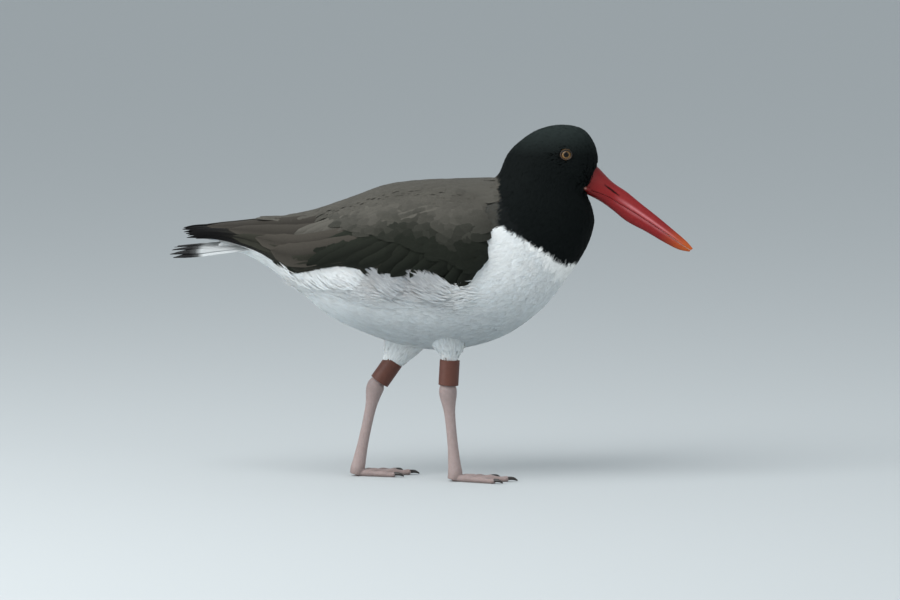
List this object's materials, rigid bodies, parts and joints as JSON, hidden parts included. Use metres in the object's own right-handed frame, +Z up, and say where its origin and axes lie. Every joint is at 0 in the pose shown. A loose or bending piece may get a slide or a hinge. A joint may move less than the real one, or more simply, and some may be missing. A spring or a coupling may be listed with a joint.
{
  "type": "oystercatcher",
  "caption": "Life-size oystercatcher in mid stride: black hood, grey-brown folded wings, white belly, long red bill, bare legs with a plain band on each.",
  "frame": {"origin": "on the floor, below the middle of the bird's bounding box", "axes": "+X towards the bill's tip, +Y the bird's left side, +Z up"},
  "size_m": [0.3612, 0.116, 0.2448],
  "materials": {
    "hood": "short close black feathers with a faint cool sheen",
    "plumage": "soft white body feathers",
    "wing": "matt grey-brown flight feathers and coverts with black tips",
    "tail": "matt blackish tail feathers, pale at their bases",
    "bill": "smooth red horn, orange towards the tip, satin",
    "eye": "wet glossy amber iris round a dark pupil",
    "eyelid": "bare orange-red skin",
    "leg_skin": "scaled pale pinkish skin, satin",
    "claw": "dark blunt horn",
    "leg_band": "plain dull maroon plastic"
  },
  "bodies": {
    "root": {"head": "hood", "neck": "hood", "torso": "plumage", "thigh_left": "plumage", "thigh_right": "plumage", "wing_left": "wing", "wing_right": "wing", "tail": "tail", "bill_upper": "bill", "bill_lower": "bill", "eye_left": "eye", "eye_right": "eye", "eyelid_ring_left": "eyelid", "eyelid_ring_right": "eyelid", "shank_left": "leg_skin", "shank_right": "leg_skin", "foot_left": "leg_skin", "foot_right": "leg_skin", "claw_inner_left": "claw", "claw_middle_left": "claw", "claw_outer_left": "claw", "claw_inner_right": "claw", "claw_middle_right": "claw", "claw_outer_right": "claw", "leg_band_left": "leg_band", "leg_band_right": "leg_band"}
  },
  "joints": []
}
